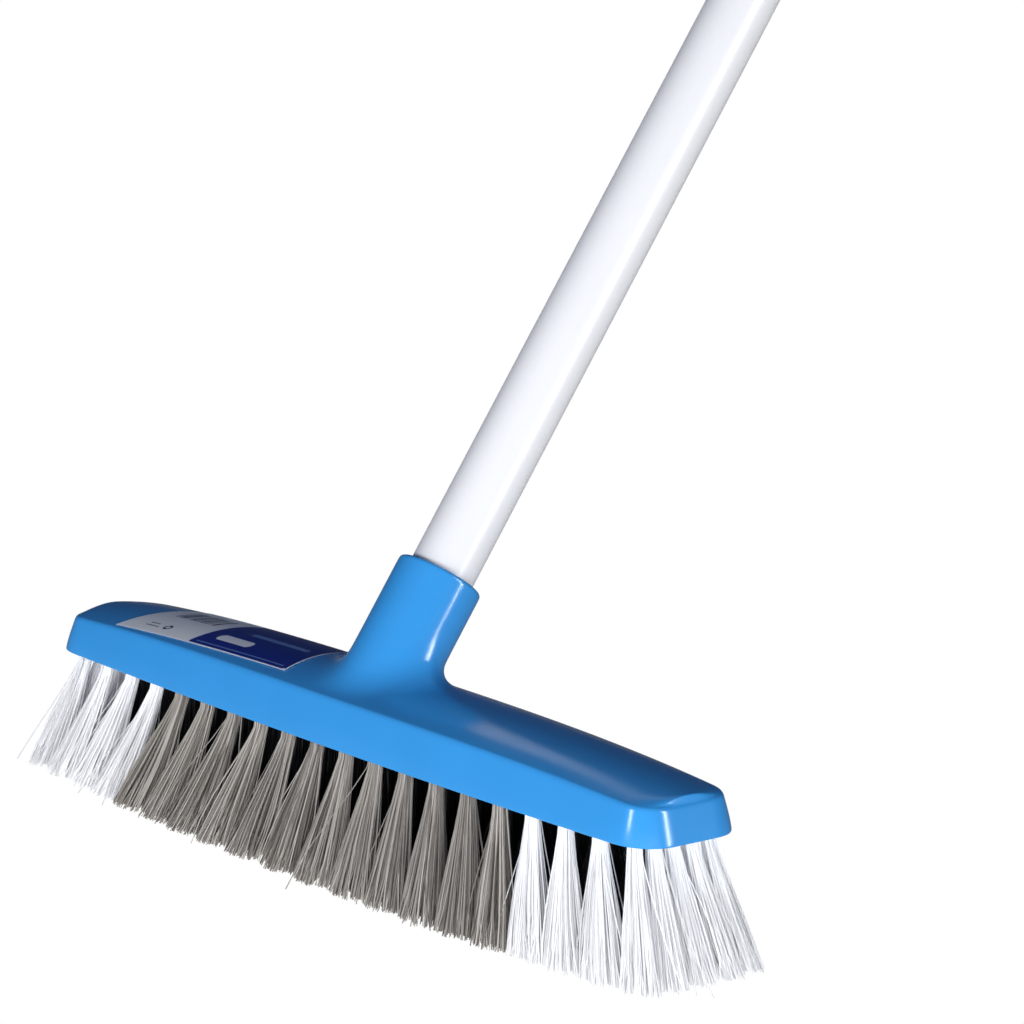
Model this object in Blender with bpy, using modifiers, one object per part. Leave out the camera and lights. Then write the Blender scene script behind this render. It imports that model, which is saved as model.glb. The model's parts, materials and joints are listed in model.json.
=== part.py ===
"""Household floor broom: a moulded head, its tufts, and a long handle that screws into the angled socket.

Metres, +Z up. The origin lies on the plane of the bristle tips, under the middle of the head. +X runs along
the head, -Y is the front of the head, and the handle leans back towards +Y.
"""
import math

import bmesh
import bpy
from mathutils import Matrix, Vector

# Head: plan outline, crowned top and drafted sides.
HEAD_LENGTH = 0.300
END_HALF_WIDTH = 0.0223
SIDE_BULGE = 0.0033
CORNER_RADIUS = 0.0128
CREASE_HEIGHT = 0.0158
CREASE_DROP_AT_ENDS = 0.0041
CROWN = 0.0036
TOP_INSET = 0.0046
# Each level of the drafted side below the top's edge: inset from the outline, share of the crease height.
SIDE_LEVELS = ((0.0036, 0.955), (0.0030, 0.88), (0.0014, 0.48), (0.0003, 0.08), (0.0007, 0.0))

# Tufts: their length below the head, their holes and their layout.
BRISTLE_LENGTH = 0.042
TUFTS_PER_SIDE = 20
WHITE_TUFTS_PER_END = 4
TUFT_PITCH = 0.0146
OUTER_ROW_AT_ENDS = 0.0147
INNER_ROW_AT_ENDS = 0.0074
INNER_ROW_BULGE = 0.0016
TUFT_RADIUS = 0.0022
HOLE_RADIUS = 0.0026
HOLE_DEPTH = 0.010
GAP = 0.0003

# How far a tuft's tip spreads and leans outwards over its length.
TIP_ALONG = 0.0068
TIP_ACROSS = 0.0045
CORNER_TIP_ALONG = 0.0055
END_TIP_ALONG = 0.0050
LEAN_OUT_FRONT = 0.0055
LEAN_OUT_FRONT_MIDDLE = 0.0055
LEAN_OUT_END = 0.0110
LEAN_OUT_REACH = 0.060
END_TUFT_LEAN = 0.0120
END_TUFT_SPREAD = 1.45
INNER_STRIP_HEIGHT = 0.006
INNER_STRIP_HALF_WIDTH = 0.0040
INNER_TUFT_TIP_HEIGHT = 0.0015
INNER_TIP_ACROSS = 0.0037
INNER_TIP_SPREAD_BACK = 0.0020
INNER_TIP_SPREAD_BULGE = 0.0039

# Handle socket, measured along its own tilted axis from the plane of the head's underside.
HANDLE_TILT = math.radians(34.1)
AXIS_Y_AT_UNDERSIDE = -0.0090
SOCKET_RADIUS = 0.0147
SOCKET_RIM = 0.0599
SOCKET_FILLET = 0.012
SOCKET_FILLET_BACK = 0.0006
SOCKET_ROOT_DEPTH = 0.004
RIM_ROUNDING = 0.0015
MOUTH_RADIUS = 0.0114
MOUTH_DEPTH = 0.010
THREAD_BORE_RADIUS = 0.0102
THREAD_DEPTH = 0.026

# Handle, ferrule and end cap.
HANDLE_RADIUS = 0.011
HANDLE_WALL = 0.0006
HANDLE_LENGTH = 1.200
THREAD_RADIUS = 0.0099
FLANGE_THICKNESS = 0.002
PLUG_RADIUS = 0.0101
PLUG_LENGTH = 0.022
CAP_PLUG_LENGTH = 0.025
CAP_BRIM = 0.001
CAP_DOME = 0.005
CAP_DOME_STEPS = 6
PLUG_CHAMFER = 0.001

# Label on the left half of the head's top.
LABEL_X = (-0.118, -0.030)
LABEL_Y = (-0.0172, 0.0155)
LABEL_THICKNESS = 0.0003
LABEL_STATIONS = 12

# Facets.
MIDDLE_STATIONS = 16
CORNER_STATIONS = 4
TOP_STRIPS = 6
SOCKET_SIDES = 32
SOCKET_FILLET_LEVELS = 5
TURNED_SIDES = 32
TUFT_SIDES = 10
INNER_TUFT_SIDES = 8
MERGE = 0.00001
CORNER_SEARCH_STEPS = 40

HALF_LENGTH = HEAD_LENGTH / 2
STRAIGHT = HALF_LENGTH - CORNER_RADIUS
OUTER_ROW_BULGE = SIDE_BULGE
ROW_HALF_LENGTH = TUFT_PITCH * (TUFTS_PER_SIDE - 1) / 2
HANDLE_AXIS = Vector((0, math.sin(HANDLE_TILT), math.cos(HANDLE_TILT)))
ACROSS_AXIS = Vector((0, math.cos(HANDLE_TILT), -math.sin(HANDLE_TILT)))
AXIS_ORIGIN = Vector((0, AXIS_Y_AT_UNDERSIDE, BRISTLE_LENGTH))
MOUTH_FLOOR = SOCKET_RIM - MOUTH_DEPTH
BORE_END = MOUTH_FLOOR - THREAD_DEPTH
FLANGE_BOTTOM = MOUTH_FLOOR + GAP
TUBE_BOTTOM = FLANGE_BOTTOM + FLANGE_THICKNESS + GAP
TUBE_TOP = TUBE_BOTTOM + HANDLE_LENGTH


def clear_scene():
    """Empty the scene of objects and of the meshes and materials they used."""
    for obj in list(bpy.data.objects):
        bpy.data.objects.remove(obj, do_unlink=True)
    for block in (bpy.data.meshes, bpy.data.materials):
        for item in list(block):
            block.remove(item)


def new_collection(name):
    collection = bpy.data.collections.new(name)
    bpy.context.scene.collection.children.link(collection)
    return collection


def plain_material(name, colour, roughness, metallic=0.0):
    material = bpy.data.materials.new(name)
    material.use_nodes = True
    shader = material.node_tree.nodes["Principled BSDF"]
    shader.inputs["Base Color"].default_value = (*colour, 1.0)
    shader.inputs["Roughness"].default_value = roughness
    shader.inputs["Metallic"].default_value = metallic
    return material


def add_object(name, bm, collection, material=None, smooth_angle=35):
    """Make a named object from a bmesh, with its faces turned outwards and its round sides smooth."""
    bmesh.ops.recalc_face_normals(bm, faces=bm.faces)
    mesh = bpy.data.meshes.new(name)
    bm.to_mesh(mesh)
    bm.free()
    mesh.shade_smooth()
    mesh.set_sharp_from_angle(angle=math.radians(smooth_angle))
    obj = bpy.data.objects.new(name, mesh)
    collection.objects.link(obj)
    if material:
        mesh.materials.append(material)
    return obj


def make_cutter(obj):
    obj.hide_render = True
    obj.display_type = "WIRE"
    return obj


def add_boolean(obj, operand, operation):
    modifier = obj.modifiers.new(operand.name, "BOOLEAN")
    modifier.operation = operation
    modifier.solver = "EXACT"
    modifier.object = operand


def half_width(x, inset):
    """Half-width of the head's outline at x, with the outline moved in by inset."""
    if abs(x) <= STRAIGHT:
        return END_HALF_WIDTH - inset + SIDE_BULGE * (1 - (x / STRAIGHT) ** 2)
    radius = CORNER_RADIUS - inset
    reach = min(abs(x) - STRAIGHT, radius)
    return END_HALF_WIDTH - CORNER_RADIUS + math.sqrt(radius**2 - reach**2)


def crease_height(x):
    return CREASE_HEIGHT - CREASE_DROP_AT_ENDS * abs(x / HALF_LENGTH) ** 3


def top_height(x, y):
    """Height of the crowned top above the underside."""
    crown = CROWN * (1 - 0.45 * (x / HALF_LENGTH) ** 4)
    across = min(1.0, abs(y) / half_width(x, TOP_INSET))
    return crease_height(x) + crown * (1 - across**2)


def station_x(column, inset):
    """X of one station along the outline: even in the middle, then evenly turned round each corner."""
    step = column - (MIDDLE_STATIONS / 2 + CORNER_STATIONS)
    if abs(step) <= MIDDLE_STATIONS / 2:
        return STRAIGHT * step / (MIDDLE_STATIONS / 2)
    turn = (abs(step) - MIDDLE_STATIONS / 2) / CORNER_STATIONS * math.pi / 2
    return math.copysign(STRAIGHT + (CORNER_RADIUS - inset) * math.sin(turn), step)


def outline_point(column, row, inset, height_share):
    """Point of the outline's level, or of the top where height_share is None."""
    x = station_x(column, inset)
    y = half_width(x, inset) * (2 * row / TOP_STRIPS - 1)
    height = top_height(x, y) if height_share is None else height_share * crease_height(x)
    return Vector((x, y, BRISTLE_LENGTH + height))


def make_block(collection):
    """The head's block: a crowned grid for the top, drawn down level by level to the flat underside."""
    columns = MIDDLE_STATIONS + 2 * CORNER_STATIONS
    bm = bmesh.new()
    column_of = bm.verts.layers.int.new("column")
    row_of = bm.verts.layers.int.new("row")
    bmesh.ops.create_grid(bm, x_segments=columns, y_segments=TOP_STRIPS, size=1)
    for vert in bm.verts:
        vert[column_of] = round((vert.co.x + 1) / 2 * columns)
        vert[row_of] = round((vert.co.y + 1) / 2 * TOP_STRIPS)
    for vert in bm.verts:
        vert.co = outline_point(vert[column_of], vert[row_of], TOP_INSET, None)
    rim = [edge for edge in bm.edges if edge.is_boundary]
    for inset, height_share in SIDE_LEVELS:
        grown = bmesh.ops.extrude_edge_only(bm, edges=rim)["geom"]
        rim = [item for item in grown if isinstance(item, bmesh.types.BMEdge) and item.is_boundary]
        for vert in {vert for edge in rim for vert in edge.verts}:
            vert.co = outline_point(vert[column_of], vert[row_of], inset, height_share)
    bmesh.ops.contextual_create(bm, geom=rim)
    return add_object("head_block", bm, collection)


def loft(bm, sides, rings):
    """Close a row of rings into a solid. Each ring is a function from a spoke's angle to a point."""
    spoke_of = bm.verts.layers.int.get("spoke") or bm.verts.layers.int.new("spoke")
    disc = bmesh.ops.create_circle(bm, cap_ends=True, segments=sides, radius=1)["verts"]
    for number, vert in enumerate(disc):
        vert[spoke_of] = number
        vert.co = rings[0](2 * math.pi * number / sides)
    face = disc[0].link_faces[0]
    for ring in rings[1:]:
        grown = bmesh.ops.extrude_face_region(bm, geom=[face, *face.edges])["geom"]
        face = next(item for item in grown if isinstance(item, bmesh.types.BMFace))
        for vert in face.verts:
            vert.co = ring(2 * math.pi * vert[spoke_of] / sides)


def socket_line(angle, distance):
    """Point on the socket's round wall at an angle round its axis and a distance along it."""
    spoke = Vector((math.cos(angle), 0, 0)) + ACROSS_AXIS * math.sin(angle)
    return AXIS_ORIGIN + HANDLE_AXIS * distance + spoke * SOCKET_RADIUS


def socket_corner(angle):
    """Where the socket's wall line would meet the head's top."""
    distance = CREASE_HEIGHT / math.cos(HANDLE_TILT)
    for _ in range(CORNER_SEARCH_STEPS):
        point = socket_line(angle, distance)
        distance += (BRISTLE_LENGTH + top_height(point.x, point.y) - point.z) / math.cos(HANDLE_TILT)
    return point


def socket_fillet_ring(share):
    """Ring of the blend from the head's top (share 0) to the socket's straight wall (share 1)."""

    def ring(angle):
        corner = socket_corner(angle)
        spoke = Vector((math.cos(angle), 0, 0)) + ACROSS_AXIS * math.sin(angle)
        outwards = Vector((spoke.x, spoke.y, 0)).normalized()
        radius = SOCKET_FILLET
        if math.sin(angle) > 0:
            radius = SOCKET_FILLET_BACK + (SOCKET_FILLET - SOCKET_FILLET_BACK) * (1 - math.sin(angle))
        reach = radius / math.tan(outwards.angle(HANDLE_AXIS) / 2)
        foot = corner + outwards * reach
        foot.z = BRISTLE_LENGTH + top_height(foot.x, foot.y)
        wall = corner + HANDLE_AXIS * reach
        if share < 0:
            return foot - Vector((0, 0, SOCKET_ROOT_DEPTH))
        return foot * (1 - share) ** 2 + corner * 2 * share * (1 - share) + wall * share**2

    return ring


def socket_rim_ring(turn):
    """Ring of the rim's rounding, from the wall (turn 0) to the flat mouth (turn of a quarter circle)."""
    distance = SOCKET_RIM - RIM_ROUNDING * (1 - math.sin(turn))
    radius = SOCKET_RADIUS - RIM_ROUNDING * (1 - math.cos(turn))

    def ring(angle):
        spoke = Vector((math.cos(angle), 0, 0)) + ACROSS_AXIS * math.sin(angle)
        return AXIS_ORIGIN + HANDLE_AXIS * distance + spoke * radius

    return ring


def make_socket(collection):
    bm = bmesh.new()
    rings = [socket_fillet_ring(-1)]
    rings += [socket_fillet_ring(level / SOCKET_FILLET_LEVELS) for level in range(SOCKET_FILLET_LEVELS + 1)]
    rings += [socket_rim_ring(turn * math.pi / 4) for turn in range(3)]
    loft(bm, SOCKET_SIDES, rings)
    return make_cutter(add_object("socket_wall", bm, collection))


def turned(name, profile, collection, material=None, closed=False):
    """Turn a profile of (radius, distance) points about the handle's axis with a Screw modifier."""
    bm = bmesh.new()
    verts = [bm.verts.new((radius, 0, distance)) for radius, distance in profile]
    for first, second in zip(verts, verts[1:]):
        bm.edges.new((first, second))
    if closed:
        bm.edges.new((verts[-1], verts[0]))
    mesh = bpy.data.meshes.new(name)
    bm.to_mesh(mesh)
    bm.free()
    obj = bpy.data.objects.new(name, mesh)
    collection.objects.link(obj)
    obj.location = AXIS_ORIGIN
    obj.rotation_euler = (-HANDLE_TILT, 0, 0)
    screw = obj.modifiers.new("turn", "SCREW")
    screw.steps = TURNED_SIDES
    screw.render_steps = TURNED_SIDES
    screw.use_merge_vertices = True
    screw.merge_threshold = MERGE
    screw.use_smooth_shade = True
    if material:
        mesh.materials.append(material)
    return obj


def make_bore(collection):
    """Cutter for the socket's mouth and for the plain envelope of its thread."""
    above = SOCKET_RIM + MOUTH_DEPTH
    profile = [
        (0, above),
        (MOUTH_RADIUS, above),
        (MOUTH_RADIUS, MOUTH_FLOOR),
        (THREAD_BORE_RADIUS, MOUTH_FLOOR),
        (THREAD_BORE_RADIUS, BORE_END),
        (0, BORE_END),
    ]
    return make_cutter(turned("socket_bore", profile, collection))


def row_offset(x, at_ends, bulge):
    return at_ends + bulge * (1 - (x / ROW_HALF_LENGTH) ** 2)


class Tuft:
    """Where one tuft is rooted, and where its filaments end."""

    def __init__(self, name, root, tip, tip_along, tip_across):
        self.name = name
        self.root = Vector(root)
        self.tip = Vector(tip)
        self.tip_along = tip_along
        self.tip_across = tip_across

    def rings(self, tip_height=0.0):
        """Rings from the tip, up to the head's underside, and up the hole to the tuft's folded root."""

        def tip_ring(angle):
            spread = Vector((math.cos(angle) * self.tip_along, math.sin(angle) * self.tip_across, 0))
            return Vector((self.tip.x, self.tip.y, tip_height)) + spread

        def round_ring(height):
            def ring(angle):
                spoke = Vector((math.cos(angle), math.sin(angle), 0)) * TUFT_RADIUS
                return Vector((self.root.x, self.root.y, height)) + spoke

            return ring

        return [tip_ring, round_ring(BRISTLE_LENGTH), round_ring(BRISTLE_LENGTH + HOLE_DEPTH - GAP)]


def outer_tufts():
    """Every tuft of the outer ring: the front and back rows, then the three between them at each end."""
    tufts = []
    for side_name, side in (("front", -1), ("back", 1)):
        for number in range(TUFTS_PER_SIDE):
            x = (number - (TUFTS_PER_SIDE - 1) / 2) * TUFT_PITCH
            along = x / ROW_HALF_LENGTH
            y = side * row_offset(x, OUTER_ROW_AT_ENDS, OUTER_ROW_BULGE)
            lean = LEAN_OUT_FRONT + LEAN_OUT_FRONT_MIDDLE * (1 - along**2)
            tip = (x + LEAN_OUT_END * math.tanh(x / LEAN_OUT_REACH), y + side * lean)
            tip_along = CORNER_TIP_ALONG if number in (0, TUFTS_PER_SIDE - 1) else TIP_ALONG
            tufts.append(Tuft(f"tuft_{side_name}_{number + 1:02d}", (x, y), tip, tip_along, TIP_ACROSS))
    for end_name, end in (("left", -1), ("right", 1)):
        for number in range(3):
            x = end * ROW_HALF_LENGTH
            y = (number - 1) * INNER_ROW_AT_ENDS
            tip = (x + end * END_TUFT_LEAN, y * END_TUFT_SPREAD)
            tufts.append(Tuft(f"tuft_{end_name}_{number + 1}", (x, y), tip, END_TIP_ALONG, TIP_ACROSS))
    return tufts


def filament_colour(name):
    """White for the tufts at both ends of a row and across the ends, grey between them."""
    if name.startswith(("tuft_left", "tuft_right")):
        return "white"
    number = int(name[-2:])
    at_an_end = number <= WHITE_TUFTS_PER_END or number > TUFTS_PER_SIDE - WHITE_TUFTS_PER_END
    return "white" if at_an_end else "grey"


def inner_tip_y(x, side):
    spread = INNER_TIP_SPREAD_BACK + INNER_TIP_SPREAD_BULGE * (1 - (x / ROW_HALF_LENGTH) ** 2)
    return side * (row_offset(x, INNER_ROW_AT_ENDS, INNER_ROW_BULGE) + spread)


def inner_rows():
    """Three inner rows as (name, side, tufts). The two outside rows stand between the middle row's tufts."""
    rows = []
    for name, side, count in (
        ("inner_row_front", -1, TUFTS_PER_SIDE - 3),
        ("inner_row_middle", 0, TUFTS_PER_SIDE - 2),
        ("inner_row_back", 1, TUFTS_PER_SIDE - 3),
    ):
        tufts = []
        for number in range(count):
            x = (number - (count - 1) / 2) * TUFT_PITCH
            root = (x, side * row_offset(x, INNER_ROW_AT_ENDS, INNER_ROW_BULGE))
            tip = (x, inner_tip_y(x, side))
            tufts.append(Tuft(f"{name}_{number + 1:02d}", root, tip, TIP_ALONG, INNER_TIP_ACROSS))
        rows.append((name, side, tufts))
    return rows


def make_tuft_holes(tufts, collection):
    """One cutter that drills every tuft's blind hole from below the underside."""
    bm = bmesh.new()
    for tuft in tufts:
        lift = Matrix.Translation((tuft.root.x, tuft.root.y, BRISTLE_LENGTH))
        bmesh.ops.create_cone(
            bm,
            cap_ends=True,
            segments=INNER_TUFT_SIDES,
            radius1=HOLE_RADIUS,
            radius2=HOLE_RADIUS,
            depth=2 * HOLE_DEPTH,
            matrix=lift,
        )
    return make_cutter(add_object("tuft_holes", bm, collection))


def make_tuft(tuft, collection, material):
    bm = bmesh.new()
    loft(bm, TUFT_SIDES, tuft.rings())
    return add_object(tuft.name, bm, collection, material)


def make_inner_row(name, side, tufts, parts, cutters, material):
    """A row whose filaments merge near the tips: a strip along the tips, joined to the row's tufts."""
    strip_ends = tufts[-1].root.x + TIP_ALONG
    bm = bmesh.new()
    bmesh.ops.create_grid(bm, x_segments=MIDDLE_STATIONS, y_segments=1, size=1)
    for vert in bm.verts:
        x = vert.co.x * strip_ends
        y = inner_tip_y(x, side) + vert.co.y * INNER_STRIP_HALF_WIDTH
        vert.co = (x, y, 0)
    grown = bmesh.ops.extrude_face_region(bm, geom=bm.faces[:])["geom"]
    raised = [item for item in grown if isinstance(item, bmesh.types.BMVert)]
    bmesh.ops.translate(bm, verts=raised, vec=(0, 0, INNER_STRIP_HEIGHT))
    row = add_object(name, bm, parts, material)
    tuft_mesh = bmesh.new()
    for tuft in tufts:
        loft(tuft_mesh, INNER_TUFT_SIDES, tuft.rings(tip_height=INNER_TUFT_TIP_HEIGHT))
    add_boolean(row, make_cutter(add_object(f"{name}_tufts", tuft_mesh, cutters)), "UNION")
    return row


def make_label(collection, material):
    """Thin film that follows the crown of the head's top."""
    bm = bmesh.new()
    bmesh.ops.create_grid(bm, x_segments=LABEL_STATIONS, y_segments=TOP_STRIPS, size=1)
    for vert in bm.verts:
        x = LABEL_X[0] + (vert.co.x + 1) / 2 * (LABEL_X[1] - LABEL_X[0])
        y = LABEL_Y[0] + (vert.co.y + 1) / 2 * (LABEL_Y[1] - LABEL_Y[0])
        vert.co = (x, y, BRISTLE_LENGTH + top_height(x, y) + GAP)
    label = add_object("label", bm, collection, material)
    film = label.modifiers.new("film", "SOLIDIFY")
    film.thickness = LABEL_THICKNESS
    film.offset = 1.0
    return label


def make_handle(collection, material):
    inner = HANDLE_RADIUS - HANDLE_WALL
    profile = [
        (HANDLE_RADIUS, TUBE_TOP),
        (HANDLE_RADIUS, TUBE_BOTTOM),
        (inner, TUBE_BOTTOM),
        (inner, TUBE_TOP),
    ]
    return turned("handle_tube", profile, collection, material, closed=True)


def make_ferrule(collection, material):
    """Plug in the tube, flange under the tube's end, and the thread drawn as its plain outer envelope."""
    flange_top = FLANGE_BOTTOM + FLANGE_THICKNESS
    plug_top = flange_top + PLUG_LENGTH
    thread_end = BORE_END + 2 * GAP
    profile = [
        (0, plug_top),
        (PLUG_RADIUS - PLUG_CHAMFER, plug_top),
        (PLUG_RADIUS, plug_top - PLUG_CHAMFER),
        (PLUG_RADIUS, flange_top),
        (HANDLE_RADIUS, flange_top),
        (HANDLE_RADIUS, FLANGE_BOTTOM),
        (THREAD_RADIUS, FLANGE_BOTTOM),
        (THREAD_RADIUS, thread_end + PLUG_CHAMFER),
        (THREAD_RADIUS - PLUG_CHAMFER, thread_end),
        (0, thread_end),
    ]
    return turned("threaded_ferrule", profile, collection, material)


def make_end_cap(collection, material):
    """Low domed cap, as wide as the tube, on a plug that fills the tube's open end."""
    dome = []
    for step in range(CAP_DOME_STEPS + 1):
        turn = step / CAP_DOME_STEPS * math.pi / 2
        dome.append((HANDLE_RADIUS * math.sin(turn), TUBE_TOP + GAP + CAP_BRIM + CAP_DOME * math.cos(turn)))
    plug_end = TUBE_TOP - CAP_PLUG_LENGTH
    profile = dome + [
        (HANDLE_RADIUS, TUBE_TOP + GAP),
        (PLUG_RADIUS, TUBE_TOP + GAP),
        (PLUG_RADIUS, plug_end + PLUG_CHAMFER),
        (PLUG_RADIUS - PLUG_CHAMFER, plug_end),
        (0, plug_end),
    ]
    return turned("end_cap", profile, collection, material)


def main():
    clear_scene()
    parts = new_collection("floor_broom")
    cutters = new_collection("cutters")
    blue = plain_material("head_blue", (0.035, 0.27, 0.72), 0.22)
    film = plain_material("label_film", (0.75, 0.76, 0.78), 0.35)
    enamel = plain_material("handle_enamel", (0.85, 0.86, 0.88), 0.25)
    ferrule_plastic = plain_material("ferrule_plastic", (0.80, 0.81, 0.83), 0.45)
    cap_plastic = plain_material("cap_plastic", (0.035, 0.27, 0.72), 0.35)
    filaments = {
        "white": plain_material("filament_white", (0.82, 0.82, 0.84), 0.5),
        "grey": plain_material("filament_grey", (0.26, 0.25, 0.23), 0.5),
        "black": plain_material("filament_black", (0.012, 0.012, 0.013), 0.5),
    }

    outer = outer_tufts()
    inner = inner_rows()
    head = make_block(parts)
    head.data.materials.append(blue)
    add_boolean(head, make_socket(cutters), "UNION")
    add_boolean(head, make_bore(cutters), "DIFFERENCE")
    rooted = outer + [tuft for _, _, tufts in inner for tuft in tufts]
    add_boolean(head, make_tuft_holes(rooted, cutters), "DIFFERENCE")
    make_label(parts, film)
    for tuft in outer:
        make_tuft(tuft, parts, filaments[filament_colour(tuft.name)])
    for name, side, tufts in inner:
        make_inner_row(name, side, tufts, parts, cutters, filaments["black"])
    make_handle(parts, enamel)
    make_ferrule(parts, ferrule_plastic)
    make_end_cap(parts, cap_plastic)


main()
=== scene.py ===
"""Looks of a household floor broom: a moulded blue head, flared tufts, a printed label and a white handle.

Everything is in metres in the row's frame: the origin on the plane of the bristle tips, +X along the head,
-Y out of its front, and the handle leaning back towards +Y.
"""
import json
import logging
import math
import random
from collections.abc import Callable
from dataclasses import dataclass, field
from enum import Enum

import bmesh
import bpy
from mathutils import Matrix, Vector


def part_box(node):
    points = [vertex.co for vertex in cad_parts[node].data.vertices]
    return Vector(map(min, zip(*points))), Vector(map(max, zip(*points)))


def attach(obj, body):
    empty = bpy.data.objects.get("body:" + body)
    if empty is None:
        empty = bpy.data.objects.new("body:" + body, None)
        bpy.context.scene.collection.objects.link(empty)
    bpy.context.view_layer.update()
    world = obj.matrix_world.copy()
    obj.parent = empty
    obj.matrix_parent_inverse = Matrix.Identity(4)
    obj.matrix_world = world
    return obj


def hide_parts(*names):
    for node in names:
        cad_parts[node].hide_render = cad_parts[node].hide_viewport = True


LOG = logging.getLogger("broom")
MM = 0.001
WHITE = (1.0, 1.0, 1.0, 1.0)


class Glow(Enum):
    """What a soft box does: lights surfaces, shows in their gloss, or both."""

    LIGHT = (True, False)
    MIRROR = (False, True)

    def __init__(self, lights: bool, mirrored: bool) -> None:
        """Say whether it lights and whether it shows in gloss."""
        self.lights = lights
        self.mirrored = mirrored


class Body(str, Enum):
    """The broom's bodies, by their names in the frame."""

    HEAD = "head"
    FERRULE = "ferrule"
    HANDLE = "handle"


class FilamentColour(Enum):
    """The three colours of filament in the head, each with the shades of its darkest and lightest strands."""

    WHITE = ("filament_white", "#EEEFF2", "#FDFDFE")
    GREY = ("filament_grey", "#6A6560", "#BAB5AE")
    BLACK = ("filament_black", "#0B0B0C", "#2B2A2B")

    def __init__(self, slot: str, dark: str, light: str) -> None:
        """Name the record's slot and the two shades."""
        self.slot = slot
        self.dark = dark
        self.light = light


def linear(hex_colour: str) -> tuple[float, float, float, float]:
    """Turn an sRGB hex colour to linear RGBA.

    Args:
        hex_colour: Six hex digits after a hash sign.

    Returns:
        The colour in linear light, with full alpha.
    """
    channels = [int(hex_colour[place : place + 2], 16) / 255 for place in (1, 3, 5)]
    light = [c / 12.92 if c <= 0.04045 else ((c + 0.055) / 1.055) ** 2.4 for c in channels]
    return (light[0], light[1], light[2], 1.0)


def add_node(
    tree: bpy.types.NodeTree, kind: str, links: dict | None = None, **settings: object
) -> bpy.types.Node:
    """Add a node to a tree.

    Args:
        tree: The node tree.
        kind: The node's type.
        links: Values or other nodes' output sockets, by the name or number of the input that takes them.
        settings: The node's own properties.

    Returns:
        The new node.
    """
    node = tree.nodes.new(kind)
    for name, value in settings.items():
        setattr(node, name, value)
    for name, value in (links or {}).items():
        if isinstance(value, bpy.types.NodeSocket):
            tree.links.new(value, node.inputs[name])
        else:
            node.inputs[name].default_value = value
    return node


def add_tint(
    tree: bpy.types.NodeTree, amount: bpy.types.NodeSocket, low: tuple, high: tuple
) -> bpy.types.NodeSocket:
    """Add a mix of two colours.

    Args:
        tree: The node tree.
        amount: Socket that runs from 0 for low to 1 for high.
        low: The colour at 0.
        high: The colour at 1.

    Returns:
        The mixed colour's socket.
    """
    mix = add_node(tree, "ShaderNodeMix", {"Factor": amount}, data_type="RGBA")
    mix.inputs[6].default_value = low
    mix.inputs[7].default_value = high
    return mix.outputs[2]


def darker(hex_colour: str, share: float) -> tuple[float, float, float, float]:
    """Turn an sRGB hex colour to linear RGBA, cut to a share of its light.

    Args:
        hex_colour: Six hex digits after a hash sign.
        share: The share of its light that is left.

    Returns:
        The darker colour in linear light, with its alpha kept.
    """
    red, green, blue, alpha = linear(hex_colour)
    return (share * red, share * green, share * blue, alpha)


def new_surface(name: str) -> tuple[bpy.types.Material, bpy.types.NodeTree, bpy.types.Node]:
    """Make a material with an empty tree that holds only its output.

    Args:
        name: The material's name.

    Returns:
        The material, its node tree and the output node.
    """
    material = bpy.data.materials.new(name)
    material.use_nodes = True
    tree = material.node_tree
    tree.nodes.clear()
    return material, tree, add_node(tree, "ShaderNodeOutputMaterial")


@dataclass(frozen=True)
class MouldedPolypropylene:
    """Injection-moulded polypropylene: glossy, faintly wavy from the mould, with handling haze."""

    name: str
    colour: str
    roughness: float = 0.18
    haze: float = 0.08
    wave_mm: float = 26.0
    wave_height_mm: float = 0.05
    wear_mm: float = 80.6
    shade: float = 0.90
    grain_mm: float = 1.4
    grain_height_mm: float = 0.004

    def material(self) -> bpy.types.Material:
        """Build the material. The waves bend long reflections, and the grain softens them a little.

        Returns:
            The material.
        """
        material, tree, output = new_surface(self.name)
        place = add_node(tree, "ShaderNodeTexCoord").outputs["Object"]
        waves = add_node(
            tree, "ShaderNodeTexNoise", {"Vector": place, "Scale": 1 / (self.wave_mm * MM), "Detail": 1.0}
        )
        grain = add_node(
            tree, "ShaderNodeTexNoise", {"Vector": place, "Scale": 1 / (self.grain_mm * MM), "Detail": 2.0}
        )
        wear = add_node(
            tree,
            "ShaderNodeTexNoise",
            {"Vector": place, "Scale": 1 / (self.wear_mm * MM), "Detail": 6.0, "Roughness": 0.62},
        )
        gloss = add_node(
            tree,
            "ShaderNodeMapRange",
            {
                "Value": wear.outputs["Fac"],
                "From Min": 0.35,
                "From Max": 0.70,
                "To Min": self.roughness - self.haze / 2,
                "To Max": self.roughness + self.haze / 2,
            },
        )
        tint = add_tint(tree, waves.outputs["Fac"], linear(self.colour), darker(self.colour, self.shade))
        coarse = add_node(
            tree,
            "ShaderNodeBump",
            {"Height": waves.outputs["Fac"], "Distance": self.wave_height_mm * MM, "Strength": 1.0},
        )
        fine = add_node(
            tree,
            "ShaderNodeBump",
            {
                "Height": grain.outputs["Fac"],
                "Distance": self.grain_height_mm * MM,
                "Strength": 1.0,
                "Normal": coarse.outputs["Normal"],
            },
        )
        shader = add_node(
            tree,
            "ShaderNodeBsdfPrincipled",
            {
                "Base Color": tint,
                "Roughness": gloss.outputs["Result"],
                "IOR": 1.49,
                "Normal": fine.outputs["Normal"],
            },
        )
        tree.links.new(shader.outputs["BSDF"], output.inputs["Surface"])
        return material


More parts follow.
